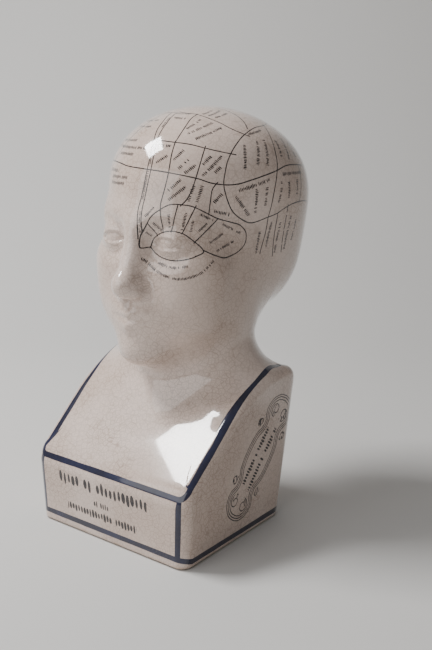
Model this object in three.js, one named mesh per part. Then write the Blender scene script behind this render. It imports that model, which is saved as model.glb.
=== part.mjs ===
// A phrenology bust in glazed earthenware: a bald, earless head on a thick neck, rising from a
// wedge-shaped block with an upright front panel, a sloping chest and rounded shoulders.
// It is cast in one piece. Millimetres, +Z up, and the face looks along -Y. The origin lies on the
// surface that it stands on, in the middle of the foot of the block.
import * as THREE from 'three';

// The block, at its foot
const blockWidth = 128;
const blockDepth = 115;
const frontPanelHeight = 49;
const shoulderHeight = 111;
const slopeAngle = THREE.MathUtils.degToRad(42.5);
const slopeRounding = 95;
const backRounding = 18;
const frontCornerRadius = 8;
const backCornerRadius = 14;
const edgeRounding = 6;
const footBevel = 1.5;

// The block widens a little towards its shoulders, by these shares for each millimetre of height.
const flare = { sides: 0.0007, front: 0.0008, back: 0.0018 };
const flareEnds = 136;

// The neck
const neckWidth = 96;
const neckDepth = 65;
const neckSetback = 24.5;
const neckBlend = 27;
const jawBlend = 12;
const napeBlend = 30;

// The head, from the underside of the chin to the crown
const headHeight = 166;
const chinHeight = 116;

// How finely the surface is cut into facets
const facets = { frontHalf: 14, frontCorner: 3, side: 11, backCorner: 4, backHalf: 7 };
const rings = { wall: 2, edge: 3, chest: 8, face: 35, crown: 13 };
const middleCrowding = 1.4;
const noseCrowding = 1.35;

const half = blockWidth / 2;
const frontY = -blockDepth / 2;
const backY = blockDepth / 2;

// The slope meets the shoulders in a wide arc, and the shoulders meet the back in a tighter one.
const slopeMeetsShoulder = frontY + (shoulderHeight - frontPanelHeight) / Math.tan(slopeAngle);
const slopeArc = {
  y: slopeMeetsShoulder + slopeRounding * Math.tan(slopeAngle / 2),
  z: shoulderHeight - slopeRounding,
};
const backArc = { y: backY - backRounding, z: shoulderHeight - backRounding };

// Shapes of the head, as shares of its height, measured from the neck's axis at chin level.
// x is taken without its sign, so each shape off the middle stands for a pair.
const skull = { at: [0, 0.136, 0.7], radii: [0.405, 0.4, 0.3], tilt: THREE.MathUtils.degToRad(-10) };
const masses = [
  { name: 'nape', at: [0, 0.238, 0.455], radii: [0.338, 0.321, 0.35], blend: 0.133 },
  { name: 'forehead', at: [0, 0.009, 0.627], radii: [0.301, 0.341, 0.282], blend: 0.12 },
  { name: 'face', at: [0, -0.057, 0.349], radii: [0.301, 0.295, 0.386], blend: 0.096 },
  { name: 'jaw', at: [0, -0.105, 0.193], radii: [0.259, 0.235, 0.175], blend: 0.096 },
  { name: 'cheekbone', at: [0.157, -0.196, 0.404], radii: [0.127, 0.102, 0.078], blend: 0.108 },
  { name: 'cheek', at: [0.157, -0.184, 0.283], radii: [0.108, 0.108, 0.12], blend: 0.096 },
  { name: 'muzzle', at: [0, -0.232, 0.211], radii: [0.127, 0.12, 0.12], blend: 0.096 },
  { name: 'chin', at: [0, -0.274, 0.072], radii: [0.09, 0.09, 0.075], blend: 0.084 },
];
const brow = { from: [0, -0.295, 0.557], to: [0.187, -0.226, 0.578], radii: [0.045, 0.033], blend: 0.09 };
const socket = { at: [0.133, -0.389, 0.497], radii: [0.09, 0.09, 0.057], blend: 0.072 };
const closedLid = { at: [0.133, -0.247, 0.497], radii: [0.083, 0.083, 0.083], blend: 0.024 };
const bridge = { from: [0, -0.319, 0.542], to: [0, -0.392, 0.35], radii: [0.027, 0.038], blend: 0.066 };
const tip = { from: [0, -0.405, 0.332], to: [0, -0.405, 0.332], radii: [0.042, 0.042], blend: 0.042 };
const wing = {
  from: [0.046, -0.352, 0.316],
  to: [0.042, -0.378, 0.314],
  radii: [0.029, 0.027],
  blend: 0.036,
};
const upperLip = {
  from: [0, -0.361, 0.221],
  to: [0.088, -0.329, 0.203],
  radii: [0.025, 0.008],
  blend: 0.024,
};
const lowerLip = {
  from: [0, -0.357, 0.175],
  to: [0.075, -0.33, 0.192],
  radii: [0.029, 0.011],
  blend: 0.028,
};
const features = [bridge, tip, wing, upperLip, lowerLip];
const mouthLine = {
  from: [0, -0.403, 0.199],
  to: [0.09, -0.373, 0.203],
  radii: [0.02, 0.012],
  blend: 0.012,
};

// Rounds the inner corner where two solids join.
function join(a, b, blend) {
  const h = Math.max(blend - Math.abs(a - b), 0) / blend;
  return Math.min(a, b) - (h * h * blend) / 4;
}

function cut(a, b, blend) {
  return -join(-a, b, blend);
}

function ellipsoid(x, y, z, { at, radii, tilt = 0 }) {
  const dy = y - at[1];
  const dz = z - at[2];
  const u = (x - at[0]) / radii[0];
  const v = (dy * Math.cos(tilt) + dz * Math.sin(tilt)) / radii[1];
  const w = (dz * Math.cos(tilt) - dy * Math.sin(tilt)) / radii[2];
  const k = Math.hypot(u, v, w);
  return (k * (k - 1)) / Math.max(Math.hypot(u / radii[0], v / radii[1], w / radii[2]), Number.EPSILON);
}

// A round bar whose radius changes from one end to the other.
function bar(x, y, z, { from, to, radii }) {
  const d = [to[0] - from[0], to[1] - from[1], to[2] - from[2]];
  const p = [x - from[0], y - from[1], z - from[2]];
  const length2 = d[0] ** 2 + d[1] ** 2 + d[2] ** 2;
  const along = length2 ? (p[0] * d[0] + p[1] * d[1] + p[2] * d[2]) / length2 : 0;
  const t = Math.min(Math.max(along, 0), 1);
  return Math.hypot(p[0] - t * d[0], p[1] - t * d[1], p[2] - t * d[2]) - radii[0] - t * (radii[1] - radii[0]);
}

function headDistance(px, py, pz) {
  const x = Math.abs(px) / headHeight;
  const y = (py - neckSetback) / headHeight;
  const z = (pz - chinHeight) / headHeight;
  let d = ellipsoid(x, y, z, skull);
  for (const mass of masses) d = join(d, ellipsoid(x, y, z, mass), mass.blend);
  d = join(d, bar(x, y, z, brow), brow.blend);
  d = cut(d, ellipsoid(x, y, z, socket), socket.blend);
  d = join(d, ellipsoid(x, y, z, closedLid), closedLid.blend);
  for (const feature of features) d = join(d, bar(x, y, z, feature), feature.blend);
  d = cut(d, bar(x, y, z, mouthLine), mouthLine.blend);
  return d * headHeight;
}

// The neck is an upright oval column that ends inside the head.
function neckDistance(x, y, z) {
  const u = x / (neckWidth / 2);
  const v = (y - neckSetback) / (neckDepth / 2);
  const k = Math.hypot(u, v);
  const slope = Math.hypot(u / (neckWidth / 2), v / (neckDepth / 2));
  const columnTop = chinHeight + headHeight / 2;
  return Math.max((k * (k - 1)) / Math.max(slope, Number.EPSILON), z - columnTop);
}

// Height of the block's top over a place along its depth.
function blockTop(y) {
  if (y > backArc.y) return backArc.z + Math.sqrt(Math.max(backRounding ** 2 - (y - backArc.y) ** 2, 0));
  if (y > slopeArc.y) return shoulderHeight;
  if (y > slopeArc.y - slopeRounding * Math.sin(slopeAngle)) {
    return slopeArc.z + Math.sqrt(slopeRounding ** 2 - (y - slopeArc.y) ** 2);
  }
  return frontPanelHeight + (y - frontY) * Math.tan(slopeAngle);
}

function planDistance(x, y) {
  const radius = y < 0 ? frontCornerRadius : backCornerRadius;
  const u = Math.abs(x) - half + radius;
  const v = Math.abs(y) - blockDepth / 2 + radius;
  return Math.hypot(Math.max(u, 0), Math.max(v, 0)) + Math.min(Math.max(u, v), 0) - radius;
}

function blockTopDistance(y, z) {
  if (y > backArc.y) return Math.hypot(y - backArc.y, Math.max(z - backArc.z, 0)) - backRounding;
  if (y > slopeArc.y) return z - shoulderHeight;
  if (y > slopeArc.y - (z - slopeArc.z) * Math.tan(slopeAngle)) {
    return Math.hypot(y - slopeArc.y, z - slopeArc.z) - slopeRounding;
  }
  return (z - frontPanelHeight) * Math.cos(slopeAngle) - (y - frontY) * Math.sin(slopeAngle);
}

// The neck spreads widely over the chest and the shoulders, and hardly at all at the back.
const tightBlend = 0.25;

function bustDistance(x, y, z) {
  const towardsBack = THREE.MathUtils.clamp((y - neckSetback) / (backY - neckSetback), 0, 1);
  const blend = neckBlend * THREE.MathUtils.lerp(1, tightBlend, towardsBack);
  const top = join(blockTopDistance(y, z), neckDistance(x, y, z), blend) + edgeRounding;
  const wall = planDistance(x, y) + edgeRounding;
  const outside = Math.hypot(Math.max(wall, 0), Math.max(top, 0));
  const chest = outside + Math.min(Math.max(wall, top), 0) - edgeRounding;
  return join(chest, headDistance(x, y, z), THREE.MathUtils.lerp(jawBlend, napeBlend, towardsBack));
}

// Walks along a ray until the surface is crossed, then halves the last step.
function crossing(origin, direction, startsInside) {
  const step = 2;
  const farthest = 260;
  const halvings = 18;
  const point = new THREE.Vector3();
  const inside = (t) => bustDistance(...point.copy(origin).addScaledVector(direction, t)) < 0;
  let high = step;
  while (high < farthest && inside(high) === startsInside) high += step;
  let low = high - step;
  for (let i = 0; i < halvings; i++) {
    const middle = (low + high) / 2;
    if (inside(middle) === startsInside) low = middle;
    else high = middle;
  }
  return point.copy(origin).addScaledVector(direction, high).clone();
}

// Points and outward directions of the block's plan, from the middle of the front round by +X.
function planOutline() {
  const points = [];
  const add = (x, y, nx, ny) => points.push({ x, y, nx, ny });
  const corner = (cx, cy, radius, from, count) => {
    for (let i = 0; i < count; i++) {
      const a = from + (i / count) * (Math.PI / 2);
      add(cx + radius * Math.cos(a), cy + radius * Math.sin(a), Math.cos(a), Math.sin(a));
    }
  };
  const frontRun = half - frontCornerRadius;
  const sideFrom = frontY + frontCornerRadius;
  const sideRun = blockDepth - frontCornerRadius - backCornerRadius;
  const backRun = half - backCornerRadius;
  for (let i = 0; i < facets.frontHalf; i++) {
    add((i / facets.frontHalf) ** middleCrowding * frontRun, frontY, 0, -1);
  }
  corner(frontRun, sideFrom, frontCornerRadius, -Math.PI / 2, facets.frontCorner);
  for (let i = 0; i < facets.side; i++) add(half, sideFrom + (i / facets.side) * sideRun, 1, 0);
  corner(backRun, backY - backCornerRadius, backCornerRadius, 0, facets.backCorner);
  for (let i = 0; i <= facets.backHalf; i++) add((1 - i / facets.backHalf) * backRun, backY, 0, 1);
  const mirrored = points.slice(1, -1).reverse().map(({ x, y, nx, ny }) => ({ x: -x, y, nx: -nx, ny }));
  return [...points, ...mirrored];
}

const outline = planOutline();
const inset = (p, by, z) => new THREE.Vector3(p.x - p.nx * by, p.y - p.ny * by, z);
const wallTop = (p) => blockTop(p.y) - edgeRounding;

function footAndWallRings() {
  const walls = Array.from({ length: rings.wall }, (_, i) =>
    outline.map((p) => inset(p, 0, footBevel + (i / rings.wall) * (wallTop(p) - footBevel))),
  );
  return [outline.map((p) => inset(p, footBevel, 0)), ...walls];
}

// The rounded edge between the walls and the top of the block.
function edgePoint(p, t) {
  const innerY = p.y - p.ny * edgeRounding;
  const curve = new THREE.QuadraticBezierCurve3(
    inset(p, 0, wallTop(p)),
    inset(p, 0, blockTop(p.y)),
    inset(p, edgeRounding, blockTop(innerY)),
  );
  return curve.getPoint(t);
}

// The neck's waist is lower under the chin than at the nape.
const waistFront = 107;
const waistBack = 124;
const fanReach = 10;
const waistAt = (y) => THREE.MathUtils.mapLinear(y, frontY, backY, waistFront, waistBack);
const fanOrigin = (p) => inset(p, -fanReach, waistAt(p.y));

function roundedEdgePoint(p, t) {
  const target = edgePoint(p, t);
  const origin = inset(p, -fanReach, wallTop(p)).lerp(fanOrigin(p), t);
  return crossing(origin, target.sub(origin).normalize(), false);
}

// Rays from outside the block sweep from its edge, over the chest, to the neck's waist. They turn
// to the neck's axis early, so that those from the corners don't cross their neighbours.
const earlyTurn = 5;

function chestPoint(p, t) {
  const origin = fanOrigin(p);
  const toAxis = new THREE.Vector3(-origin.x, neckSetback - origin.y, 0).normalize();
  const toEdge = edgePoint(p, 1).sub(origin);
  const across = toEdge.clone().setZ(0);
  const angle = Math.atan2(toEdge.z, across.length()) * (1 - t);
  const heading = across.normalize().lerp(toAxis, 1 - (1 - t) ** earlyTurn).normalize();
  return crossing(origin, heading.multiplyScalar(Math.cos(angle)).setZ(Math.sin(angle)), false);
}

// Rays from the middle of the head sweep from the neck's waist up to the crown.
const headMiddle = new THREE.Vector3(0, neckSetback + 0.04 * headHeight, chinHeight + 0.48 * headHeight);
const browElevation = THREE.MathUtils.degToRad(20);

function headPoint(waistPoint, ring) {
  const toWaist = waistPoint.clone().sub(headMiddle);
  const heading = toWaist.clone().setZ(0);
  const lowest = Math.atan2(toWaist.z, heading.length());
  heading.normalize();
  const crown = rings.face + rings.crown;
  const fromNose = (2 * ring) / rings.face - 1;
  const crowded = Math.sign(fromNose) * Math.abs(fromNose) ** noseCrowding;
  const angle =
    ring < rings.face
      ? THREE.MathUtils.mapLinear(crowded, -1, 1, lowest, browElevation)
      : THREE.MathUtils.mapLinear(ring, rings.face, crown, browElevation, Math.PI / 2);
  return crossing(headMiddle, heading.multiplyScalar(Math.cos(angle)).setZ(Math.sin(angle)), true);
}

// The flare of the block, fading out again up the neck.
function spread(point) {
  const fade = 1 - THREE.MathUtils.smoothstep(point.z, shoulderHeight, flareEnds);
  const rise = Math.min(point.z, shoulderHeight) * fade;
  point.x *= 1 + flare.sides * rise;
  point.y *= 1 + (point.y < 0 ? flare.front : flare.back) * rise;
  return point;
}

function surfaceRings() {
  const all = footAndWallRings();
  for (let i = 0; i <= rings.edge; i++) all.push(outline.map((p) => roundedEdgePoint(p, i / rings.edge)));
  for (let i = 1; i <= rings.chest; i++) all.push(outline.map((p) => chestPoint(p, i / rings.chest)));
  const waist = all.at(-1);
  for (let i = 1; i < rings.face + rings.crown; i++) all.push(waist.map((p) => headPoint(p, i)));
  return all;
}

// One closed skin: rings of points joined by quads, closed under the foot and at the crown. Each quad
// is split along the diagonal that mirrors the other half's.
function bustGeometry() {
  const surface = surfaceRings();
  const count = outline.length;
  const crown = crossing(headMiddle, new THREE.Vector3(0, 0, 1), true);
  const points = [...surface.flat().map(spread), new THREE.Vector3(0, 0, 0), crown];
  const foot = points.length - 2;
  const top = points.length - 1;
  const last = (surface.length - 1) * count;
  const triangles = [];
  for (let j = 0; j < count; j++) {
    const k = (j + 1) % count;
    triangles.push(foot, k, j);
    for (let i = 0; i + 1 < surface.length; i++) {
      const [a, b, c, d] = [i * count + j, i * count + k, (i + 1) * count + k, (i + 1) * count + j];
      triangles.push(...(j < count / 2 ? [a, b, d, b, c, d] : [a, b, c, a, c, d]));
    }
    triangles.push(last + j, last + k, top);
  }
  const geometry = new THREE.BufferGeometry().setFromPoints(points);
  geometry.setIndex(triangles);
  geometry.computeVertexNormals();
  return geometry;
}

const glaze = new THREE.MeshStandardMaterial({
  color: new THREE.Color(0.8, 0.76, 0.7),
  roughness: 0.12,
  metalness: 0,
});

const bust = new THREE.Mesh(bustGeometry(), glaze);
bust.name = 'bust';

const phrenologyBust = new THREE.Group();
phrenologyBust.add(bust);

export default phrenologyBust;
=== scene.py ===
import math

import bpy
import numpy as np
from mathutils import Matrix, Vector


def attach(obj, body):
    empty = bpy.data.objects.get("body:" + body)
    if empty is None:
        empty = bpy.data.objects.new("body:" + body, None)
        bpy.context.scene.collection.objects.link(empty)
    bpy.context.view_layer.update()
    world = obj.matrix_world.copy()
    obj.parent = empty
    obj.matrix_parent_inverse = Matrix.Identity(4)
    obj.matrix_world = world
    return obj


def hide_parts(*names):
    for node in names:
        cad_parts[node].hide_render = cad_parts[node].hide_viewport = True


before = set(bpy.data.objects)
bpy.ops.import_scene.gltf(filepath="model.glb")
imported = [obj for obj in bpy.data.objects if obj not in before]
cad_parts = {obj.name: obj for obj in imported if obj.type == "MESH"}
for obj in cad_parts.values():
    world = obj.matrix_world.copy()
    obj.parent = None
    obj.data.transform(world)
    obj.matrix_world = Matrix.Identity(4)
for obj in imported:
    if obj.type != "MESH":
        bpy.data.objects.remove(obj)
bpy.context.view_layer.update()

MM = 0.001

# The block, at its foot
BLOCK_WIDTH = 128 * MM
BLOCK_DEPTH = 115 * MM
FRONT_PANEL_HEIGHT = 49 * MM
SHOULDER_HEIGHT = 111 * MM
SLOPE_ANGLE = math.radians(42.5)
SLOPE_ROUNDING = 95 * MM
BACK_ROUNDING = 18 * MM
FRONT_CORNER_RADIUS = 8 * MM
BACK_CORNER_RADIUS = 14 * MM
EDGE_ROUNDING = 6 * MM
FOOT_BEVEL = 1.5 * MM

# The block widens towards its shoulders, by these shares for each metre of height.
FLARE_SIDES = 0.7
FLARE_FRONT = 0.8
FLARE_BACK = 1.8
FLARE_ENDS = 136 * MM

NECK_WIDTH = 96 * MM
NECK_DEPTH = 65 * MM
NECK_SETBACK = 24.5 * MM
NECK_BLEND = 27 * MM
NECK_BLEND_AT_BACK = 0.25
JAW_BLEND = 12 * MM
NAPE_BLEND = 30 * MM

HEAD_HEIGHT = 166 * MM
CHIN_HEIGHT = 116 * MM
HEAD_MIDDLE = np.array([0, NECK_SETBACK + 0.04 * HEAD_HEIGHT, CHIN_HEIGHT + 0.48 * HEAD_HEIGHT])

# How finely the surface is divided
FRONT_HALF, FRONT_CORNER, SIDE, BACK_CORNER, BACK_HALF = 54, 8, 78, 10, 38
WALL_RINGS, EDGE_RINGS, CHEST_RINGS, FACE_RINGS, CROWN_RINGS = 46, 6, 28, 118, 50
MIDDLE_CROWDING = 1.12
BROW_ELEVATION = math.radians(20)
WAIST_FRONT = 107 * MM
WAIST_BACK = 124 * MM
FAN_REACH = 10 * MM
EARLY_TURN = 5

HALF = BLOCK_WIDTH / 2
FRONT_Y = -BLOCK_DEPTH / 2
BACK_Y = BLOCK_DEPTH / 2
SLOPE_ARC_Z = SHOULDER_HEIGHT - SLOPE_ROUNDING
SLOPE_ARC_Y = (
    FRONT_Y
    + (SHOULDER_HEIGHT - FRONT_PANEL_HEIGHT) / math.tan(SLOPE_ANGLE)
    + SLOPE_ROUNDING * math.tan(SLOPE_ANGLE / 2)
)
BACK_ARC_Y = BACK_Y - BACK_ROUNDING
BACK_ARC_Z = SHOULDER_HEIGHT - BACK_ROUNDING

# Shapes of the head, as shares of its height, measured from the neck's axis at chin level: place,
# radii and the width of the blend. x is taken without its sign, so each stands for a pair.
SKULL = ((0, 0.136, 0.7), (0.405, 0.4, 0.3), math.radians(-10))
MASSES = {
    "nape": ((0, 0.238, 0.455), (0.338, 0.321, 0.35), 0.133),
    "forehead": ((0, 0.009, 0.627), (0.301, 0.341, 0.282), 0.12),
    "face": ((0, -0.057, 0.349), (0.301, 0.295, 0.386), 0.096),
    "jaw": ((0, -0.105, 0.193), (0.259, 0.235, 0.175), 0.096),
    "cheekbone": ((0.157, -0.196, 0.404), (0.127, 0.102, 0.078), 0.108),
    "cheek": ((0.157, -0.184, 0.283), (0.108, 0.108, 0.12), 0.096),
    "muzzle": ((0, -0.232, 0.211), (0.127, 0.12, 0.12), 0.096),
    "chin": ((0, -0.274, 0.072), (0.09, 0.09, 0.075), 0.084),
}
# Bars: one end, the other end, the radius at each, and the width of the blend.
BROW = ((0, -0.295, 0.557), (0.187, -0.226, 0.578), (0.045, 0.033), 0.09)
SOCKET = ((0.133, -0.389, 0.497), (0.09, 0.09, 0.057), 0.072)
EYE_AT = (0.133, -0.247, 0.497)
EYE_RADIUS = 0.0759
LID_THICKNESS = 0.009
LID_HALF_LENGTH = 0.0735
LID_RISE = 0.0277
LID_DROP = 0.0157
LID_LOWERED = 0.003
LID_SLANT = 0.0036
LID_EDGE_BLEND = 0.006
LID_BLEND = 0.024
BALL_BLEND = 0.005
FEATURES = {
    "bridge": ((0, -0.319, 0.542), (0, -0.392, 0.35), (0.027, 0.038), 0.066),
    "tip": ((0, -0.405, 0.332), (0, -0.405, 0.332), (0.042, 0.042), 0.042),
    "wing": ((0.046, -0.352, 0.316), (0.042, -0.378, 0.314), (0.029, 0.027), 0.036),
    "upper lip": ((0, -0.361, 0.221), (0.088, -0.329, 0.203), (0.025, 0.008), 0.024),
    "lower lip": ((0, -0.357, 0.175), (0.075, -0.33, 0.192), (0.029, 0.011), 0.028),
}
CREASES = {
    "mouth": ((0, -0.398, 0.199), (0.094, -0.37, 0.204), (0.013, 0.007), 0.01),
    "philtrum": ((0, -0.374, 0.283), (0, -0.386, 0.247), (0.007, 0.007), 0.024),
}


def join(a, b, blend):
    """Rounds the inner corner where two solids join."""
    h = np.maximum(blend - np.abs(a - b), 0) / blend
    return np.minimum(a, b) - h * h * blend / 4


def cut(a, b, blend):
    return -join(-a, b, blend)


def ellipsoid(p, at, radii, tilt=0.0):
    y, z = p[1] - at[1], p[2] - at[2]
    u = (p[0] - at[0]) / radii[0]
    v = (y * math.cos(tilt) + z * math.sin(tilt)) / radii[1]
    w = (z * math.cos(tilt) - y * math.sin(tilt)) / radii[2]
    k = np.sqrt(u * u + v * v + w * w)
    slope = np.sqrt((u / radii[0]) ** 2 + (v / radii[1]) ** 2 + (w / radii[2]) ** 2)
    return k * (k - 1) / np.maximum(slope, 1e-9)


def bar(p, start, end, radii):
    """A round bar whose radius changes from one end to the other."""
    d = np.subtract(end, start)
    q = [p[i] - start[i] for i in range(3)]
    length2 = float(d @ d)
    t = np.clip((q[0] * d[0] + q[1] * d[1] + q[2] * d[2]) / length2, 0, 1) if length2 else 0.0
    gap = np.sqrt(sum((q[i] - t * d[i]) ** 2 for i in range(3)))
    return gap - radii[0] - t * (radii[1] - radii[0])


def head_distance(x, y, z):
    p = (np.abs(x) / HEAD_HEIGHT, (y - NECK_SETBACK) / HEAD_HEIGHT, (z - CHIN_HEIGHT) / HEAD_HEIGHT)
    d = ellipsoid(p, *SKULL)
    for at, radii, blend in MASSES.values():
        d = join(d, ellipsoid(p, at, radii), blend)
    d = join(d, bar(p, *BROW[:3]), BROW[3])
    d = cut(d, ellipsoid(p, *SOCKET[:2]), SOCKET[2])
    ball = np.sqrt(sum((p[i] - EYE_AT[i]) ** 2 for i in range(3))) - EYE_RADIUS
    u = (p[0] - EYE_AT[0]) / LID_HALF_LENGTH
    height = p[2] - EYE_AT[2] + LID_LOWERED + LID_SLANT * u
    opening = np.maximum(height - LID_RISE * (1 - u * u), -height - LID_DROP * (1 - u * u))
    d = join(d, cut(ball - LID_THICKNESS, opening, LID_EDGE_BLEND), LID_BLEND)
    d = join(d, ball, BALL_BLEND)
    for start, end, radii, blend in FEATURES.values():
        d = join(d, bar(p, start, end, radii), blend)
    for start, end, radii, blend in CREASES.values():
        d = cut(d, bar(p, start, end, radii), blend)
    return d * HEAD_HEIGHT


def neck_distance(x, y, z):
    u = x / (NECK_WIDTH / 2)
    v = (y - NECK_SETBACK) / (NECK_DEPTH / 2)
    k = np.hypot(u, v)
    slope = np.hypot(u / (NECK_WIDTH / 2), v / (NECK_DEPTH / 2))
    return np.maximum(k * (k - 1) / np.maximum(slope, 1e-9), z - CHIN_HEIGHT - HEAD_HEIGHT / 2)


def block_top(y):
    """Height of the block's top over a place along its depth."""
    back = BACK_ARC_Z + np.sqrt(np.maximum(BACK_ROUNDING**2 - (y - BACK_ARC_Y) ** 2, 0))
    arc = SLOPE_ARC_Z + np.sqrt(np.maximum(SLOPE_ROUNDING**2 - (y - SLOPE_ARC_Y) ** 2, 0))
    slope = FRONT_PANEL_HEIGHT + (y - FRONT_Y) * math.tan(SLOPE_ANGLE)
    arc_starts = SLOPE_ARC_Y - SLOPE_ROUNDING * math.sin(SLOPE_ANGLE)
    return np.select([y > BACK_ARC_Y, y > SLOPE_ARC_Y, y > arc_starts], [back, SHOULDER_HEIGHT, arc], slope)


def block_top_distance(y, z):
    back = np.hypot(y - BACK_ARC_Y, np.maximum(z - BACK_ARC_Z, 0)) - BACK_ROUNDING
    arc = np.hypot(y - SLOPE_ARC_Y, z - SLOPE_ARC_Z) - SLOPE_ROUNDING
    slope = (z - FRONT_PANEL_HEIGHT) * math.cos(SLOPE_ANGLE) - (y - FRONT_Y) * math.sin(SLOPE_ANGLE)
    in_arc = y > SLOPE_ARC_Y - (z - SLOPE_ARC_Z) * math.tan(SLOPE_ANGLE)
    return np.select([y > BACK_ARC_Y, y > SLOPE_ARC_Y, in_arc], [back, z - SHOULDER_HEIGHT, arc], slope)


def plan_distance(x, y):
    radius = np.where(y < 0, FRONT_CORNER_RADIUS, BACK_CORNER_RADIUS)
    u = np.abs(x) - HALF + radius
    v = np.abs(y) - BLOCK_DEPTH / 2 + radius
    return np.hypot(np.maximum(u, 0), np.maximum(v, 0)) + np.minimum(np.maximum(u, v), 0) - radius


def bust_distance(x, y, z):
    towards_back = np.clip((y - NECK_SETBACK) / (BACK_Y - NECK_SETBACK), 0, 1)
    blend = NECK_BLEND * (1 - (1 - NECK_BLEND_AT_BACK) * towards_back)
    top = join(block_top_distance(y, z), neck_distance(x, y, z), blend) + EDGE_ROUNDING
    wall = plan_distance(x, y) + EDGE_ROUNDING
    chest = np.hypot(np.maximum(wall, 0), np.maximum(top, 0)) + np.minimum(np.maximum(wall, top), 0)
    blend = JAW_BLEND + (NAPE_BLEND - JAW_BLEND) * towards_back
    return join(chest - EDGE_ROUNDING, head_distance(x, y, z), blend)


WALK_STEPS = 90
STEP_SHARE = 0.8
CLOSE_ENOUGH = 2e-6


def crossing(origins, directions, starts_inside):
    """Where each ray meets the surface, found by walking along it by the distance left."""
    along = np.zeros(len(directions))
    way = 1.0 if starts_inside else -1.0
    left = np.arange(len(directions))
    for _ in range(WALK_STEPS):
        p = origins[left] + directions[left] * along[left, None]
        d = bust_distance(p[:, 0], p[:, 1], p[:, 2])
        along[left] = np.maximum(along[left] - way * STEP_SHARE * d, 0)
        left = left[np.abs(d) > CLOSE_ENOUGH]
        if not len(left):
            break
    return origins + directions * along[:, None]


def unit(v):
    return v / np.maximum(np.linalg.norm(v, axis=-1, keepdims=True), 1e-12)


def plan_outline():
    """Points and outward directions of the block's plan, from the middle of the front round by +X."""
    front_run = HALF - FRONT_CORNER_RADIUS
    side_from = FRONT_Y + FRONT_CORNER_RADIUS
    side_run = BLOCK_DEPTH - FRONT_CORNER_RADIUS - BACK_CORNER_RADIUS
    back_run = HALF - BACK_CORNER_RADIUS
    points = [((i / FRONT_HALF) ** MIDDLE_CROWDING * front_run, FRONT_Y, 0, -1) for i in range(FRONT_HALF)]

    def corner(x, y, radius, start, count):
        for i in range(count):
            a = start + i / count * math.pi / 2
            points.append((x + radius * math.cos(a), y + radius * math.sin(a), math.cos(a), math.sin(a)))

    corner(front_run, side_from, FRONT_CORNER_RADIUS, -math.pi / 2, FRONT_CORNER)
    points += [(HALF, side_from + i / SIDE * side_run, 1, 0) for i in range(SIDE)]
    corner(back_run, BACK_Y - BACK_CORNER_RADIUS, BACK_CORNER_RADIUS, 0, BACK_CORNER)
    points += [((1 - i / BACK_HALF) * back_run, BACK_Y, 0, 1) for i in range(BACK_HALF + 1)]
    points += [(-x, y, -nx, ny) for x, y, nx, ny in reversed(points[1:-1])]
    return np.array(points)


OUTLINE = plan_outline()
COLUMNS = len(OUTLINE)


def inset(by, z):
    """The outline drawn in by a distance, at height z."""
    x = OUTLINE[:, 0] - OUTLINE[:, 2] * by
    y = OUTLINE[:, 1] - OUTLINE[:, 3] * by
    return np.stack([x, y, np.broadcast_to(z, x.shape)], 1)


WALL_TOP = block_top(OUTLINE[:, 1]) - EDGE_ROUNDING
WAIST = np.interp(OUTLINE[:, 1], [FRONT_Y, BACK_Y], [WAIST_FRONT, WAIST_BACK])
FAN_ORIGIN = inset(-FAN_REACH, WAIST)


def edge_points(t):
    """The rounded edge between the walls and the top of the block."""
    inner_y = OUTLINE[:, 1] - OUTLINE[:, 3] * EDGE_ROUNDING
    a, b = inset(0, WALL_TOP), inset(0, block_top(OUTLINE[:, 1]))
    c = inset(EDGE_ROUNDING, block_top(inner_y))
    return a * (1 - t) ** 2 + 2 * b * t * (1 - t) + c * t * t


def edge_ring(t):
    origin = inset(-FAN_REACH, WALL_TOP) * (1 - t) + FAN_ORIGIN * t
    return crossing(origin, unit(edge_points(t) - origin), False)


def chest_ring(t):
    turned = 1 - (1 - t) ** EARLY_TURN
    to_axis = unit(np.stack([-FAN_ORIGIN[:, 0], NECK_SETBACK - FAN_ORIGIN[:, 1], 0 * WAIST], 1))
    to_edge = edge_points(1) - FAN_ORIGIN
    across = to_edge * [1, 1, 0]
    angle = np.arctan2(to_edge[:, 2], np.linalg.norm(across, axis=1)) * (1 - t)
    heading = unit(unit(across) * (1 - turned) + to_axis * turned) * np.cos(angle)[:, None]
    heading[:, 2] = np.sin(angle)
    return crossing(FAN_ORIGIN, heading, False)


def head_rays(waist):
    """Directions of the head's rings from the middle of the head, from the neck's waist to the crown."""
    to_waist = waist - HEAD_MIDDLE
    flat = unit(to_waist * [1, 1, 0])
    lowest = np.arctan2(to_waist[:, 2], np.linalg.norm(to_waist[:, :2], axis=1))
    rays = []
    for i in range(1, FACE_RINGS + CROWN_RINGS):
        if i < FACE_RINGS:
            angle = lowest + (BROW_ELEVATION - lowest) * i / FACE_RINGS
        else:
            share = (i - FACE_RINGS) / CROWN_RINGS
            angle = np.full(COLUMNS, BROW_ELEVATION + (math.pi / 2 - BROW_ELEVATION) * share)
        ray = flat * np.cos(angle)[:, None]
        ray[:, 2] = np.sin(angle)
        rays.append(ray)
    return np.concatenate(rays)


def spread(points):
    """The flare of the block, fading out again up the neck."""
    z = points[:, 2]
    t = np.clip((z - SHOULDER_HEIGHT) / (FLARE_ENDS - SHOULDER_HEIGHT), 0, 1)
    rise = np.minimum(z, SHOULDER_HEIGHT) * (1 - t * t * (3 - 2 * t))
    flare_y = np.where(points[:, 1] < 0, FLARE_FRONT, FLARE_BACK)
    return np.stack([points[:, 0] * (1 + FLARE_SIDES * rise), points[:, 1] * (1 + flare_y * rise), z], 1)


def from_middle(rays):
    return crossing(np.broadcast_to(HEAD_MIDDLE, rays.shape), rays, True)


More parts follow.
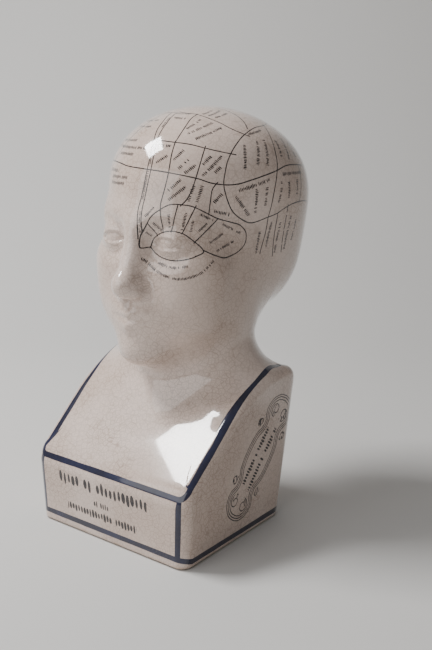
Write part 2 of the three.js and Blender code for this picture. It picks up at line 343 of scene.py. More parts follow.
def bust_points():
    walls = [inset(0, FOOT_BEVEL + i / WALL_RINGS * (WALL_TOP - FOOT_BEVEL)) for i in range(WALL_RINGS)]
    edges = [edge_ring(i / EDGE_RINGS) for i in range(EDGE_RINGS + 1)]
    chest = [chest_ring(i / CHEST_RINGS) for i in range(1, CHEST_RINGS + 1)]
    head = from_middle(head_rays(chest[-1]))
    crown = from_middle(np.array([[0.0, 0.0, 1.0]]))
    body = np.concatenate([inset(FOOT_BEVEL, 0.0), *walls, *edges, *chest, head])
    return np.concatenate([body, [[0, 0, 0]], crown])


def bust_faces(ring_count):
    j = np.arange(COLUMNS)
    k = (j + 1) % COLUMNS
    low = np.arange(ring_count - 1)[:, None] * COLUMNS
    high = low + COLUMNS
    quads = np.stack([low + j, low + k, high + k, high + j], 2).reshape(-1, 4)
    foot, top, last = ring_count * COLUMNS, ring_count * COLUMNS + 1, (ring_count - 1) * COLUMNS
    caps = [(foot, b, a) for a, b in zip(j, k)] + [(last + a, last + b, top) for a, b in zip(j, k)]
    return quads, caps


plain = bust_points()
points = spread(plain)
quads, caps = bust_faces((len(points) - 2) // COLUMNS)


# The painted chart. Places on the scalp are in degrees from the middle of the head: round from the
# face towards the figure's left, and up from the level.
SAMPLE_DEGREES = 0.6
REACH = 3.2 * MM
SAMPLES_BETWEEN_KNOTS = 24

OVAL_TOP = (109, 59)
OVAL_FOOT = (87, 17)
HIGH_CROSSING = (43, 51)
DIVIDER_CROSSING = (37, 37)
BOTH_SIDES = {
    "oval front": [OVAL_TOP, (92, 59), (76, 56), (65, 51), (58, 45), (55, 39), (54, 34), (56, 28), (60, 22),
                   (66, 18), (75, 15), OVAL_FOOT],
    "oval back": [OVAL_TOP, (101, 53), (95, 46), (92, 40), (89, 34), (87, 27), OVAL_FOOT],
    "nape line": [OVAL_FOOT, (93, 18), (99, 20), (107, 21), (119, 20), (132, 17), (156, 14), (180, 13)],
    "back line": [(112.5, 37), (112, 28), (111.5, 20.8)],
    "crown line": [(0, 77), (36, 74), (58, 67), (68, 61), (80, 55)],
    "upper back": [(152, 32), (150, 46), (136, 58), OVAL_TOP],
}
LEFT_SIDE = {
    "divider": [(0, 40), (19, 39), DIVIDER_CROSSING, (46, 35), (55, 34), (63, 34), (71, 35), (80, 36),
                (90, 37), (99, 38), (109, 37), (129, 34), (150, 32), (180, 30)],
    "column": [(-16, 75), (-7, 68), (-3, 61), (1, 55), (4, 48), (5, 41), (5, 33), (4, 25), (3.5, 20),
               (4.5, 13), (5, 5)],
    "column edge": [(-4, 75), (1, 67), (2.5, 61), (4, 55), (6.6, 48), (7.8, 40), (7.4, 33), (6.4, 25),
                    (6, 20), (7, 8)],
    "high line": [(2, 55), (20, 54), (32, 53), HIGH_CROSSING, (53, 49), (63, 47)],
    "crown arc": [(36, 74), (29, 70), (25, 63), (20.5, 54)],
    "temple rise": [(20.5, 54), (20, 48), (20, 40), (19, 33), (17, 25), (17, 21)],
    "upper temple": [HIGH_CROSSING, (41, 47), (39, 42), DIVIDER_CROSSING],
    "lower temple": [DIVIDER_CROSSING, (35, 32), (32, 27), (29, 24)],
    "side curve": [(50, 35), (47, 32), (46, 27), (45, 20)],
    "top arc": [(99, 80), (95, 72), (91, 66), (85, 60)],
    "neck line": [OVAL_FOOT, (89, 7), (88, -6)],
    "behind": [(94, 18), (97, 7), (102, -9)],
    "far behind": [(101, 20), (104, 10), (109, -6)],
}
RIGHT_SIDE = {
    "divider": [(0, 40), (-12, 40.5), (-25, 41.7), (-40, 42), (-54, 41), (-70, 38), (-90, 37), (-109, 37),
                (-129, 34), (-150, 32), (-180, 30)],
    "group line": [(-30, 75), (-32, 54), (-40, 36), (-46, 20)],
    "neck line": [(-87, 17), (-92, 4), (-97, -8)],
}

# The fan of small regions over the figure's left eye, from the eye's own middle, and the lens round
# the eye. Each spoke runs from the fan to the lens.
EYE_MIDDLE = np.array([24.0, 3.0])
FAN = [
    (-14, -3), (-18, -3), (-18, 3), (-15, 9), (-12, 14), (-7, 18), (-1, 21), (8, 21), (13, 20), (21, 17),
    (27, 15), (36, 13), (43, 11), (48, 6), (48, -1), (42, -6), (32, -8), (25, -6), (18, -3),
]
LENS = [
    (-14, -3), (-12, 2), (-7, 5.4), (-1, 7), (4, 6.6), (9, 4.6), (18, -3), (14, -6), (8, -8), (1, -9),
    (-6, -8), (-11, -6), (-14, -3),
]
SPOKES = [
    ((-14, 10), (-9, 4)), ((-7, 18), (-5, 6)), ((3, 21), (0, 7)), ((13, 20), (6, 6)), ((27, 15), (13, 1.4)),
]


def smooth_path(knots, step):
    """A curve through the knots, in even steps."""
    knots = np.array(knots, float)
    ends = np.vstack([2 * knots[0] - knots[1], knots, 2 * knots[-1] - knots[-2]])
    t = np.linspace(0, 1, SAMPLES_BETWEEN_KNOTS, endpoint=False)[:, None]
    pieces = []
    for a, b, c, d in zip(ends, ends[1:], ends[2:], ends[3:]):
        bend = (c - a) * t + (2 * a - 5 * b + 4 * c - d) * t**2 + (3 * b - 3 * c + d - a) * t**3
        pieces.append(b + bend / 2)
    curve = np.vstack([*pieces, knots[-1:]])
    run = running_length(curve)
    even = np.linspace(0, run[-1], max(int(run[-1] / step), 3))
    return np.stack([np.interp(even, run, curve[:, i]) for i in range(curve.shape[1])], 1)


def running_length(curve):
    return np.concatenate([[0], np.cumsum(np.linalg.norm(np.diff(curve, axis=0), axis=1))])


def scalp_ray(places):
    a, e = np.radians(places[:, 0]), np.radians(places[:, 1])
    return np.stack([np.sin(a) * np.cos(e), -np.cos(a) * np.cos(e), np.sin(e)], 1)


def stroke(curve, outward):
    """A painted stroke: its points, the way it runs, the way across it, and how far along each is."""
    ahead = unit(np.gradient(curve, axis=0))
    across = unit(np.cross(outward, ahead))
    return {"at": curve, "ahead": ahead, "across": across, "run": running_length(curve)}


def scalp_stroke(knots):
    rays = scalp_ray(smooth_path(knots, SAMPLE_DEGREES))
    return stroke(from_middle(rays), rays)


def by_eye(knots):
    return [EYE_MIDDLE + place for place in knots]


def chart_lines():
    lines = []
    for knots in BOTH_SIDES.values():
        lines.append(scalp_stroke(knots))
        lines.append(scalp_stroke([(-a, e) for a, e in knots]))
    lines += [scalp_stroke(knots) for knots in (*LEFT_SIDE.values(), *RIGHT_SIDE.values())]
    return lines + [scalp_stroke(by_eye(knots)) for knots in (FAN, LENS, *SPOKES)]


# Rows of small marks, each from one place to another: round, up, round, up.
MARK_HEIGHT = 2.6 * MM
SMALL_MARK_HEIGHT = 2.2 * MM
COLUMN_MARK_HEIGHT = 1.6 * MM
SCALP_ROWS = [
    (45, 74, 68, 78), (52, 72, 84, 77), (60, 70, 86, 73), (-2, 75, 25, 75), (4, 71, 22, 70),
    (27, 62, 41, 69), (29, 59, 53, 66), (36, 56, 60, 62), (6, 52, 18, 52), (10, 43, 17, 47),
    (22, 45, 28, 50), (26, 41, 33, 46), (30, 39, 37, 43), (41, 43, 47, 47), (41, 38, 54, 47),
    (48, 39, 53, 42), (20, 30, 28, 36), (21, 26, 31, 33), (33, 26, 36, 34), (38, 26, 41, 34),
    (48, 26, 53, 30), (48, 22, 59, 20),
    (80, 56, 97, 57), (72, 51, 68, 40), (84, 52, 77, 41), (91, 52, 84, 40), (102, 50, 98, 42),
    (112, 50, 104, 40), (118, 47, 114, 40),
    (62, 31, 84, 34), (61, 29, 72, 19), (75, 31, 76, 20), (82, 31, 82, 22), (94, 35, 114, 33),
    (93, 32, 92, 23), (99, 31, 100, 24), (107, 31, 107.5, 24), (124, 30, 148, 28), (124, 26, 146, 24),
    (84, 9, 84, -6), (91, 15, 93, -2), (99, 13, 103, -7), (107, 15, 111, -5), (114, 12, 116, 0),
    (-43, 53, -18, 54), (-45, 50, -2, 50), (-32, 46.5, -12, 46.5), (-39, 38, -22, 38), (-32, 35, -10, 35),
    (-30, 32, -12, 32), (-42, 66, -16, 68), (-40, 62, -14, 63),
    (-76, 66, -48, 66), (-78, 62, -50, 62), (-90, 50, -64, 50), (-90, 46, -62, 46), (-86, 42, -62, 42),
    (-84, 30, -62, 30), (-82, 26, -64, 26), (-112, 32, -94, 32), (-110, 28, -94, 28),
    (-114, 12, -98, 12), (-112, 8, -98, 8), (-112, 4, -100, 4), (-84, 6, -68, 6), (-83, 2, -69, 2),
    (-148, 27, -128, 27), (-146, 23, -130, 23), (160, 27, 200, 27), (163, 23, 197, 23),
    (160, 50, 200, 50), (163, 46, 197, 46), (132, 9, 158, 8), (134, 5, 156, 4), (-158, 8, -132, 9),
    (-156, 4, -134, 5), (120, 46, 142, 46), (122, 42, 142, 42), (-142, 46, -120, 46), (-142, 42, -122, 42),
]
FAN_ROWS = [
    (8.5, 16.5, 13, 22), (13, 14, 18, 10), (7.2, 9.5, 11, 6.5), (22, 19, 23, 11.5), (32, 20, 30, 11),
    (36, 16, 34.5, 9), (40, 19.5, 48, 17), (39, 10.5, 44, 15), (46, 4, 56, 10), (50, -1, 64, 5),
    (54, 15, 68, 9),
]
COLUMN_ROWS = [(6.3, 39, 5.2, 25), (5.1, 19, 6, 8), (3.6, 53, 6.2, 42), (0.4, 63, -3, 71)]
UNDER_EYE = [[(-8, -11), (1, -12.4), (10, -11)], [(-17, -9), (-9, -14.5), (3, -17.5), (15, -15), (24, -8.5)]]


def scalp_rows():
    rows = []
    groups = ((SCALP_ROWS, MARK_HEIGHT), (FAN_ROWS, SMALL_MARK_HEIGHT), (COLUMN_ROWS, COLUMN_MARK_HEIGHT))
    for places, height in groups:
        rows += [{**scalp_stroke([row[:2], row[2:]]), "height": height} for row in places]
    return rows + [{**scalp_stroke(by_eye(knots)), "height": SMALL_MARK_HEIGHT} for knots in UNDER_EYE]


def flat_stroke(curve, outward):
    curve = np.array(curve, float)
    return stroke(spread(curve), np.broadcast_to(outward, curve.shape))


# The front panel's rows of marks: height over the foot, length and height of each row.
PANEL_ROWS = [(36.5, 78, 9.0), (25.0, 13, 4.6), (17.2, 61, 6.2)]
PANEL_ROWS_MIDDLE = -5.5 * MM
FLAT_SAMPLE = 0.8


def panel_rows():
    rows = []
    for z, length, height in PANEL_ROWS:
        x = np.linspace(-length / 2, length / 2, int(length / FLAT_SAMPLE)) * MM + PANEL_ROWS_MIDDLE
        curve = np.stack([x, np.full_like(x, FRONT_Y), np.full_like(x, z * MM)], 1)
        rows.append({**flat_stroke(curve, (0, -1, 0)), "height": height * MM})
    return rows


# The scroll frame on each side panel, drawn along a slant: one quarter of its outline in
# millimetres, then its curls, each a middle and the radii that it winds between.
SCROLL_AT = (17 * MM, 54 * MM)
SCROLL_SLANT = math.radians(55)
SCROLL_QUARTER = [
    (44, 0), (42.5, 7.5), (37, 13.4), (29.5, 14.8), (23, 11.2), (18, 11.4), (13, 14.2), (6, 15.6), (0, 15.8),
]
SCROLL_GAPS = (0, 1.6, 3.4)
SCROLL_CURLS = [((32.5, 5.6), 5.0, 1.6), ((20.5, 15.4), 3.2, 1.2)]
SCROLL_ROWS = [(4.4, 40), (-4.4, 44)]
SCROLL_ROW_HEIGHT = 5.0 * MM
CURL_TURNS = 1.25
CURL_POINTS = 48


def on_side(u, v, side):
    """A place on a side panel: u along the scroll and v across it, in millimetres."""
    c, s = math.cos(SCROLL_SLANT), math.sin(SCROLL_SLANT)
    y = SCROLL_AT[0] + (u * c - v * s) * MM
    z = SCROLL_AT[1] + (u * s + v * c) * MM
    return np.stack([np.full_like(y, side * HALF), y, z], 1)


def scroll_outlines():
    """The closed frame and the lines within it, each a little further in."""
    quarter = np.array(SCROLL_QUARTER)
    half = np.vstack([quarter, quarter[-2::-1] * [-1, 1]])
    curve = smooth_path(np.vstack([half, half[-2::-1] * [1, -1]]), FLAT_SAMPLE)
    ahead = unit(np.gradient(curve, axis=0))
    inward = np.stack([-ahead[:, 1], ahead[:, 0]], 1)
    return [curve + inward * gap for gap in SCROLL_GAPS]


def curl(middle, outer, inner, end, hand):
    turn = np.linspace(0, CURL_TURNS * 2 * math.pi, CURL_POINTS)
    radius = outer + (inner - outer) * turn / turn[-1]
    return end * (middle[0] - radius * np.cos(turn)), hand * (middle[1] + radius * np.sin(turn))


def side_panels():
    lines, rows = [], []
    for side in (-1, 1):
        outward = (side, 0, 0)
        lines += [flat_stroke(on_side(*curve.T, side), outward) for curve in scroll_outlines()]
        for middle, outer, inner in SCROLL_CURLS:
            for end, hand in ((1, 1), (1, -1), (-1, 1), (-1, -1)):
                lines.append(flat_stroke(on_side(*curl(middle, outer, inner, end, hand), side), outward))
        for v, length in SCROLL_ROWS:
            u = np.linspace(-length / 2, length / 2, int(length / FLAT_SAMPLE))
            curve = on_side(u, np.full_like(u, v), side)
            rows.append({**flat_stroke(curve, outward), "height": SCROLL_ROW_HEIGHT})
    return lines, rows


def near(mark):
    """For the surface points near a stroke: which they are, how far along it and how far across it."""
    margin = REACH + mark.get("height", 0)
    low, high = mark["at"].min(0) - margin, mark["at"].max(0) + margin
    inside = np.nonzero(np.all((points > low) & (points < high), axis=1))[0]
    gaps = np.linalg.norm(points[inside, None] - mark["at"][None], axis=2)
    nearest = gaps.argmin(1)
    close = gaps.min(1) < margin
    inside, nearest = inside[close], nearest[close]
    offset = points[inside] - mark["at"][nearest]
    along = mark["run"][nearest] + np.sum(offset * mark["ahead"][nearest], 1)
    return inside, along, np.sum(offset * mark["across"][nearest], 1)


FAR = 1.0
LINE_LAYERS = 3


def line_layers(lines):
    """Distances across the nearest lines at each corner of each face, so that each stays exact."""
    rank = np.full((LINE_LAYERS, len(quads)), FAR)
    layers = np.full((LINE_LAYERS, len(quads), 4), FAR)
    for line in lines:
        at, along, across = near(line)
        value = np.full(len(points), np.nan)
        value[at] = across
        on_line = np.zeros(len(points), bool)
        on_line[at] = (along > 0) & (along < line["run"][-1])
        face = np.nonzero(~np.isnan(value[quads]).any(1) & on_line[quads].any(1))[0]
        corners = value[quads[face]]
        closeness = np.abs(corners).min(1)
        for level in range(LINE_LAYERS):
            kept, kept_corners = rank[level, face].copy(), layers[level, face].copy()
            better = closeness < kept
            rank[level, face] = np.where(better, closeness, kept)
            layers[level, face] = np.where(better[:, None], corners, kept_corners)
            closeness = np.where(better, kept, closeness)
            corners = np.where(better[:, None], kept_corners, corners)
    return layers


def row_layer(rows):
    """Places along and across the nearest row of marks, how far its ends are, and its height."""
    rank = np.full(len(quads), FAR)
    layer = np.zeros((4, len(quads), 4))
    layer[1] = FAR
    layer[3] = MM
    for number, row in enumerate(rows):
        at, along, across = near(row)
        s = np.full(len(points), np.nan)
        t = s.copy()
        s[at], t[at] = along, across
        face = np.nonzero(~np.isnan(s[quads]).any(1))[0]
        closeness = np.abs(t[quads[face]]).min(1)
        better = (closeness < rank[face]) & (closeness < row["height"])
        face = face[better]
        rank[face] = closeness[better]
        layer[0, face] = s[quads[face]] + number
        layer[1, face] = t[quads[face]]
        layer[2, face] = np.minimum(s[quads[face]], row["run"][-1] - s[quads[face]])
        layer[3, face] = row["height"]
    return layer


# The navy lines round the block, measured to the middle of each line. The uprights' places are runs
# along the foot's outline from the middle of the front; the top line's are climbs over the rounded
# edge from the top of the walls, low on the slope and at the shoulder.
BAND_HALF_WIDTH = 1.95
BAND_SOFTNESS = 0.12
BAND_FOOT_AT_FRONT = 7.4 * MM
BAND_FOOT_ELSEWHERE = 5.2 * MM
BAND_LEFT_POST = 58.0 * MM
BAND_RIGHT_POST = 58.6 * MM
BAND_BACK_POST = 50.0 * MM
BAND_TOP_AT_FRONT = 5.3 * MM
BAND_TOP_AT_LEFT = (5.6 * MM, 12.0 * MM)
BAND_TOP_AT_RIGHT = (9.8 * MM, 13.0 * MM)
BAND_TOP_AT_BACK = 8.0 * MM
BAND_BEND = (-28 * MM, 36 * MM)
BAND_FRONT_REACH = 6 * MM
BAND_BACK_REACH = 24 * MM
BAND_TAPER = 0.25
TOP_LINE_LOWEST = 30 * MM
LEAST_SLOPE = 0.3
LEAST_AREA = 1e-20


def changes(field):
    """How a field over the rings and columns changes from ring to ring and from column to column."""
    return np.gradient(field, axis=0), (np.roll(field, -1, 1) - np.roll(field, 1, 1)) / 2


def across_surface(field, grid):
    """The field divided by its slope over the surface, which turns it into a true distance."""
    by_ring, by_column = changes(grid)
    field_by_ring, field_by_column = changes(field)
    pairs = ((by_ring, by_ring), (by_ring, by_column), (by_column, by_column))
    e, f, g = (np.sum(a * b, 2) for a, b in pairs)
    rise = g * field_by_ring**2 - 2 * f * field_by_ring * field_by_column + e * field_by_column**2
    slope = np.sqrt(np.maximum(rise, 0) / np.maximum(e * g - f * f, LEAST_AREA))
    return field / np.maximum(slope, LEAST_SLOPE)


def band_layers():
    """Distances across the foot line, the uprights and the top line, at each corner of each face."""
    ring, column = np.divmod(np.arange(len(quads)), COLUMNS)
    x, y, _, ny = OUTLINE.T
    z = plain[quads][:, :, 2]

    grid = points[:-2].reshape(-1, COLUMNS, 3)
    climb = np.cumsum(np.linalg.norm(np.diff(grid, axis=0, prepend=grid[:1]), axis=2), axis=0)
    climb -= climb[WALL_RINGS + 1]
    off_front = np.clip((y - FRONT_Y) / BAND_FRONT_REACH, 0, 1)
    at_back = np.clip((y - BACK_Y) / BAND_BACK_REACH + 1, 0, 1)
    low, shoulder = (np.where(x > 0, *ends) for ends in zip(BAND_TOP_AT_LEFT, BAND_TOP_AT_RIGHT))
    bend = np.clip((y - BAND_BEND[0]) / (BAND_BEND[1] - BAND_BEND[0]), 0, 1)
    at_side = low + (shoulder - low) * bend**2 * (3 - 2 * bend)
    top_at = BAND_TOP_AT_FRONT * (1 - off_front) + BAND_TOP_AT_BACK * at_back
    top_at = top_at + at_side * (off_front - at_back)
    taper = 1 + BAND_TAPER * np.clip(y / BACK_Y, 0, 1)
    top = (across_surface(climb - top_at, grid) * taper).reshape(-1)[quads]

    foot_at = BAND_FOOT_ELSEWHERE + np.clip(-ny, 0, 1) * (BAND_FOOT_AT_FRONT - BAND_FOOT_ELSEWHERE)
    foot = z - foot_at[quads % COLUMNS]

    run = running_length(np.vstack([OUTLINE[:, :2], OUTLINE[:1, :2]]))
    whole = run[-1]
    posts = (BAND_LEFT_POST, whole / 2 - BAND_BACK_POST, whole / 2 + BAND_BACK_POST, whole - BAND_RIGHT_POST)
    along = np.stack([run[column], run[column + 1], run[column + 1], run[column]], 1)
    gaps = np.stack([along - post for post in posts])
    nearest = np.abs(gaps).min(2).argmin(0)
    upright = gaps[nearest, np.arange(len(quads))]

    off_chest = ring < WALL_RINGS + EDGE_RINGS + CHEST_RINGS
    level = z.mean(1)
    near_foot = (ring <= WALL_RINGS) & (level < FRONT_PANEL_HEIGHT / 2)
    between = off_chest & (foot.mean(1) > 0) & (top.mean(1) < 0)
    near_top = off_chest & (level > TOP_LINE_LOWEST)
    layers = zip((foot, upright, top), (near_foot, between, near_top))
    return [np.where(allowed[:, None], distance, FAR) for distance, allowed in layers]


side_lines, side_rows = side_panels()
line_values = line_layers(side_lines + chart_lines())
row_values = row_layer(side_rows + scalp_rows() + panel_rows())

mesh = bpy.data.meshes.new("bust_glazed")
mesh.from_pydata(points.tolist(), [], quads.tolist() + [tuple(map(int, cap)) for cap in caps])
mesh.shade_smooth()


def corner_vectors(name, channels, filler):
    """Stores three values, in millimetres, for each corner of each face."""
    values = np.stack(channels, -1).reshape(-1, 3) / MM
    padding = np.tile(filler, (len(mesh.loops) - len(values), 1))
    layer = mesh.attributes.new(name, "FLOAT_VECTOR", "CORNER")
    layer.data.foreach_set("vector", np.vstack([values, padding]).astype(np.float32).ravel())


NOWHERE = FAR / MM
corner_vectors("chart", line_values, (NOWHERE, NOWHERE, NOWHERE))
corner_vectors("marks", row_values[:3], (0, NOWHERE, -1))
corner_vectors("mark_size", (row_values[3], row_values[3], row_values[3]), (1, 1, 1))
corner_vectors("bands", band_layers(), (NOWHERE, NOWHERE, NOWHERE))

bust = bpy.data.objects.new("bust_glazed", mesh)
bpy.context.scene.collection.objects.link(bust)
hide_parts("bust")
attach(bust, "root")


class Nodes:
    """Short calls for making a material's nodes."""

    def __init__(self, material):
        material.use_nodes = True
        self.tree = material.node_tree
        self.shader = next(n for n in self.tree.nodes if n.type == "BSDF_PRINCIPLED")

    def add(self, kind, inputs=(), **settings):
        node = self.tree.nodes.new(kind)
        for key, value in settings.items():
            setattr(node, key, value)
        for key, value in dict(inputs).items():
            self.plug(value, node.inputs[key])
        return node

    def plug(self, value, socket):
        if isinstance(value, bpy.types.NodeSocket):
            self.tree.links.new(value, socket)
        else:
            socket.default_value = value

    def math(self, operation, a, b=0.0):
        return self.add("ShaderNodeMath", {0: a, 1: b}, operation=operation).outputs[0]

    def vector_math(self, operation, a, b):
        return self.add("ShaderNodeVectorMath", {0: a, 1: b}, operation=operation).outputs[0]

    def split_attribute(self, name):
        vector = self.add("ShaderNodeAttribute", attribute_name=name).outputs["Vector"]
        return self.add("ShaderNodeSeparateXYZ", {0: vector}).outputs

    def noise(self, vector, scale, detail=2.0):
        return self.add("ShaderNodeTexNoise", {"Vector": vector, "Scale": scale, "Detail": detail}).outputs[0]

    def cracks(self, vector, scale):
        inputs = {"Vector": vector, "Scale": scale}
        return self.add("ShaderNodeTexVoronoi", inputs, feature="DISTANCE_TO_EDGE").outputs["Distance"]

    def ramp(self, value, low, high, start=0.0, end=1.0):
        inputs = {"Value": value, "From Min": low, "From Max": high, "To Min": start, "To Max": end}
        return self.add("ShaderNodeMapRange", inputs).outputs[0]

    def mix(self, share, a, b):
        node = self.add("ShaderNodeMix", data_type="RGBA")
        self.plug(share, node.inputs["Factor"])
        self.plug(a, node.inputs[6])
        self.plug(b, node.inputs[7])
        return node.outputs[2]

    def hash(self, value, salt):
        seed = self.math("ADD", value, salt)
        return self.add("ShaderNodeTexWhiteNoise", {"W": seed}, noise_dimensions="1D").outputs[0]

    def nearest(self, distances):
        sizes = [self.math("ABSOLUTE", distance) for distance in distances]
        return self.math("MINIMUM", self.math("MINIMUM", sizes[0], sizes[1]), sizes[2])


GLAZE_WHITE = (0.70, 0.583, 0.520, 1)
GLAZE_WARM = (0.55, 0.43, 0.362, 1)
CRAZE = (0.22, 0.145, 0.105, 1)
BARE_CLAY = (0.40, 0.27, 0.18, 1)
INK = (0.012, 0.010, 0.012, 1)
NAVY = (0.002, 0.006, 0.028, 1)
NAVY_THIN = (0.008, 0.016, 0.060, 1)

COARSE_CRACKS = 245.0
FINE_CRACKS = 560.0

MARK_PITCH = 0.42
MARK_LEAN = 0.2
GAP_SHARE = 0.1


def mark_ink(n, marks, height):
    """Spindle-shaped upright strokes of uneven height and breadth, with gaps here and there."""
    along, across, end = marks
    cell = n.math("DIVIDE", along, n.math("MULTIPLY", height, MARK_PITCH))
    index = n.math("FLOOR", cell)
    v = n.math("DIVIDE", across, height)
    u = n.math("ADD", n.math("SUBTRACT", n.math("FRACT", cell), 0.5), n.math("MULTIPLY", v, MARK_LEAN))
    v = n.math("SUBTRACT", v, n.ramp(n.hash(index, 0.13), 0, 1, -0.07, 0.07))
    breadth = n.ramp(n.hash(index, 0.37), 0, 1, 0.27, 0.44)
    length = n.ramp(n.hash(index, 0.71), 0, 1, 0.32, 0.5)
    round_u = n.math("POWER", n.math("DIVIDE", u, breadth), 2.0)
    round_v = n.math("POWER", n.math("DIVIDE", v, length), 2.0)
    spindle = n.math("LESS_THAN", n.math("ADD", round_u, round_v), 1.0)
    kept = n.math("GREATER_THAN", n.hash(index, 0.93), GAP_SHARE)
    return n.math("MULTIPLY", n.math("MULTIPLY", spindle, kept), n.math("GREATER_THAN", end, 0))


def crazing(n, place):
    """How dark the fine cracks in the glaze are, with stained and clean patches."""
    wobble = n.noise(place, 90.0)
    drift = [n.math("MULTIPLY", wobble, share) for share in (0.0022, -0.0016, 0.0019)]
    bent = n.vector_math("ADD", place, n.add("ShaderNodeCombineXYZ", dict(enumerate(drift))).outputs[0])
    coarse = n.ramp(n.cracks(bent, COARSE_CRACKS), 0.013, 0.07, 0.9, 0.0)
    fine = n.ramp(n.cracks(bent, FINE_CRACKS), 0.015, 0.1, 0.65, 0.0)
    stain = n.ramp(n.noise(place, 28.0), 0.35, 0.7, 0.35, 1.0)
    return n.math("MULTIPLY", n.math("MAXIMUM", coarse, fine), stain)


def glaze_material():
    material = bpy.data.materials.new("crackle_glaze")
    n = Nodes(material)
    place = n.add("ShaderNodeTexCoord").outputs["Object"]
    craze = crazing(n, place)

    ground = n.mix(n.ramp(n.noise(place, 14.0, 4.0), 0.35, 0.7), GLAZE_WHITE, GLAZE_WARM)
    ground = n.mix(n.ramp(n.noise(place, 420.0, 3.0), 0.45, 0.75, 0.0, 0.35), ground, GLAZE_WARM)
    ground = n.mix(n.math("MULTIPLY", craze, 0.6), ground, CRAZE)
    height = n.add("ShaderNodeSeparateXYZ", {0: place}).outputs[2]
    height = n.math("SUBTRACT", height, n.ramp(n.noise(place, 130.0), 0.3, 0.7, 0.0, 0.0012))
    ground = n.mix(n.ramp(height, 0.0, 0.0022, 0.75, 0.0), ground, BARE_CLAY)

    half_width = n.ramp(n.noise(place, 260.0), 0.3, 0.7, 0.32, 0.43)
    line = n.math("LESS_THAN", n.nearest(n.split_attribute("chart")), half_width)
    marks = mark_ink(n, n.split_attribute("marks"), n.split_attribute("mark_size")[0])
    drawn = n.math("MAXIMUM", line, marks)
    ink = n.math("MULTIPLY", drawn, n.ramp(n.noise(place, 700.0), 0.3, 0.6, 0.92, 1.0))
    painted = n.mix(ink, ground, INK)

    ragged = n.ramp(n.noise(place, 45.0), 0.3, 0.7, -0.15, 0.15)
    band = n.math("ADD", n.nearest(n.split_attribute("bands")), ragged)
    navy = n.mix(n.ramp(n.noise(place, 60.0, 3.0), 0.45, 0.75), NAVY, NAVY_THIN)
    inner, outer = BAND_HALF_WIDTH - BAND_SOFTNESS, BAND_HALF_WIDTH + BAND_SOFTNESS
    painted = n.mix(n.ramp(band, inner, outer, 0.97, 0.0), painted, navy)

    n.plug(painted, n.shader.inputs["Base Color"])
    n.plug(n.ramp(n.noise(place, 35.0, 3.0), 0.3, 0.7, 0.10, 0.2), n.shader.inputs["Roughness"])
    n.shader.inputs["Coat Weight"].default_value = 1.0
    n.shader.inputs["Coat Roughness"].default_value = 0.04
    n.shader.inputs["IOR"].default_value = 1.5
    n.shader.inputs["Specular IOR Level"].default_value = 0.15
    ripple = n.math("ADD", n.math("MULTIPLY", n.noise(place, 55.0), 0.6), n.math("MULTIPLY", craze, -0.05))
    bump = n.add("ShaderNodeBump", {"Height": ripple, "Strength": 0.12, "Distance": 0.001})
    n.plug(bump.outputs[0], n.shader.inputs["Normal"])
    return material


mesh.materials.append(glaze_material())

VIEW_AZIMUTH = math.radians(36.18)
VIEW_ELEVATION = math.radians(13.89)
VIEW_ROLL = math.radians(1.37)
VIEW_FROM = (0.3753, -0.4560, 0.2847)
LENS_MM = 49.8
SENSOR_MM = 36
LIGHT_DEPTH_SHARE = 0.7
SKY = (0.95, 0.94, 0.93, 1)
SKY_STRENGTH = 0.26


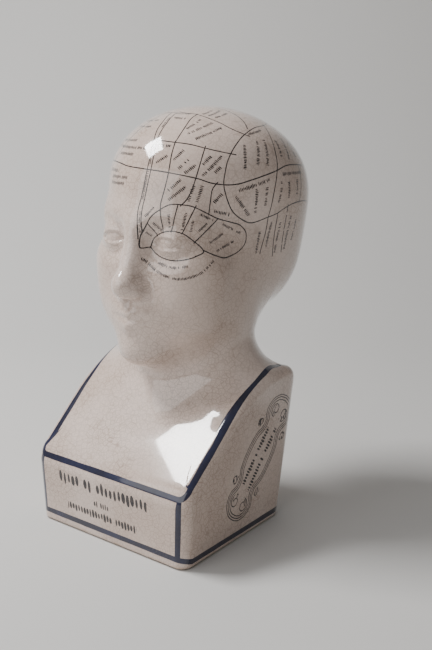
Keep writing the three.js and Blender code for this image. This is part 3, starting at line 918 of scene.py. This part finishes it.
def backdrop():
    """A pale paper sheet that lies flat under the bust and curves up behind it."""
    front, back, bend, rise, breadth = -3.0, 0.45, 0.6, 3.0, 4.0
    profile = [(front, 0.0), (back, 0.0)]
    for turn in np.linspace(0, math.pi / 2, 25)[1:]:
        profile.append((back + bend * math.sin(turn), bend * (1 - math.cos(turn))))
    profile.append((back + bend, rise))
    across = Vector((math.cos(VIEW_AZIMUTH), math.sin(VIEW_AZIMUTH), 0))
    away = Vector((-math.sin(VIEW_AZIMUTH), math.cos(VIEW_AZIMUTH), 0))
    up = Vector((0, 0, 1))
    corners = [across * side * breadth + away * reach + up * z for reach, z in profile for side in (-1, 1)]
    strips = [(i, i + 1, i + 3, i + 2) for i in range(0, len(corners) - 2, 2)]
    sheet_mesh = bpy.data.meshes.new("backdrop")
    sheet_mesh.from_pydata(corners, [], strips)
    sheet_mesh.shade_smooth()
    sheet = bpy.data.objects.new("backdrop", sheet_mesh)
    bpy.context.scene.collection.objects.link(sheet)
    paper = Nodes(bpy.data.materials.new("backdrop_paper"))
    paper.shader.inputs["Base Color"].default_value = (0.60, 0.59, 0.575, 1)
    paper.shader.inputs["Roughness"].default_value = 0.85
    sheet_mesh.materials.append(bpy.data.materials["backdrop_paper"])


def soft_light(name, place, aim, width, power):
    light = bpy.data.lights.new(name, "AREA")
    light.shape = "RECTANGLE"
    light.size = width
    light.size_y = width * LIGHT_DEPTH_SHARE
    light.energy = power
    lamp = bpy.data.objects.new(name, light)
    lamp.location = place
    lamp.rotation_euler = (Vector(aim) - Vector(place)).to_track_quat("-Z", "Y").to_euler()
    bpy.context.scene.collection.objects.link(lamp)


def camera():
    """The photograph's view: a little above the head's level, round to the figure's left."""
    sine, cosine = math.sin(VIEW_AZIMUTH), math.cos(VIEW_AZIMUTH)
    level_back = math.cos(VIEW_ELEVATION)
    back = Vector((sine * level_back, -cosine * level_back, math.sin(VIEW_ELEVATION)))
    level = Vector((cosine, sine, 0))
    right = level * math.cos(VIEW_ROLL) + back.cross(level) * math.sin(VIEW_ROLL)
    up = back.cross(right)
    data = bpy.data.cameras.new("camera")
    data.lens = LENS_MM
    data.sensor_width = SENSOR_MM
    eye = bpy.data.objects.new("camera", data)
    eye.matrix_world = Matrix.Translation(VIEW_FROM) @ Matrix((right, up, back)).transposed().to_4x4()
    bpy.context.scene.collection.objects.link(eye)
    bpy.context.scene.camera = eye


backdrop()
soft_light("key", (-0.62, -0.34, 1.1), (0, 0, 0.12), 0.42, 20)
soft_light("front", (-0.35, -1.6, 0.8), (0, 0, 0.15), 1.7, 14)
world = bpy.data.worlds.new("studio")
world.use_nodes = True
world.node_tree.nodes["Background"].inputs[0].default_value = SKY
world.node_tree.nodes["Background"].inputs[1].default_value = SKY_STRENGTH
bpy.context.scene.world = world
camera()
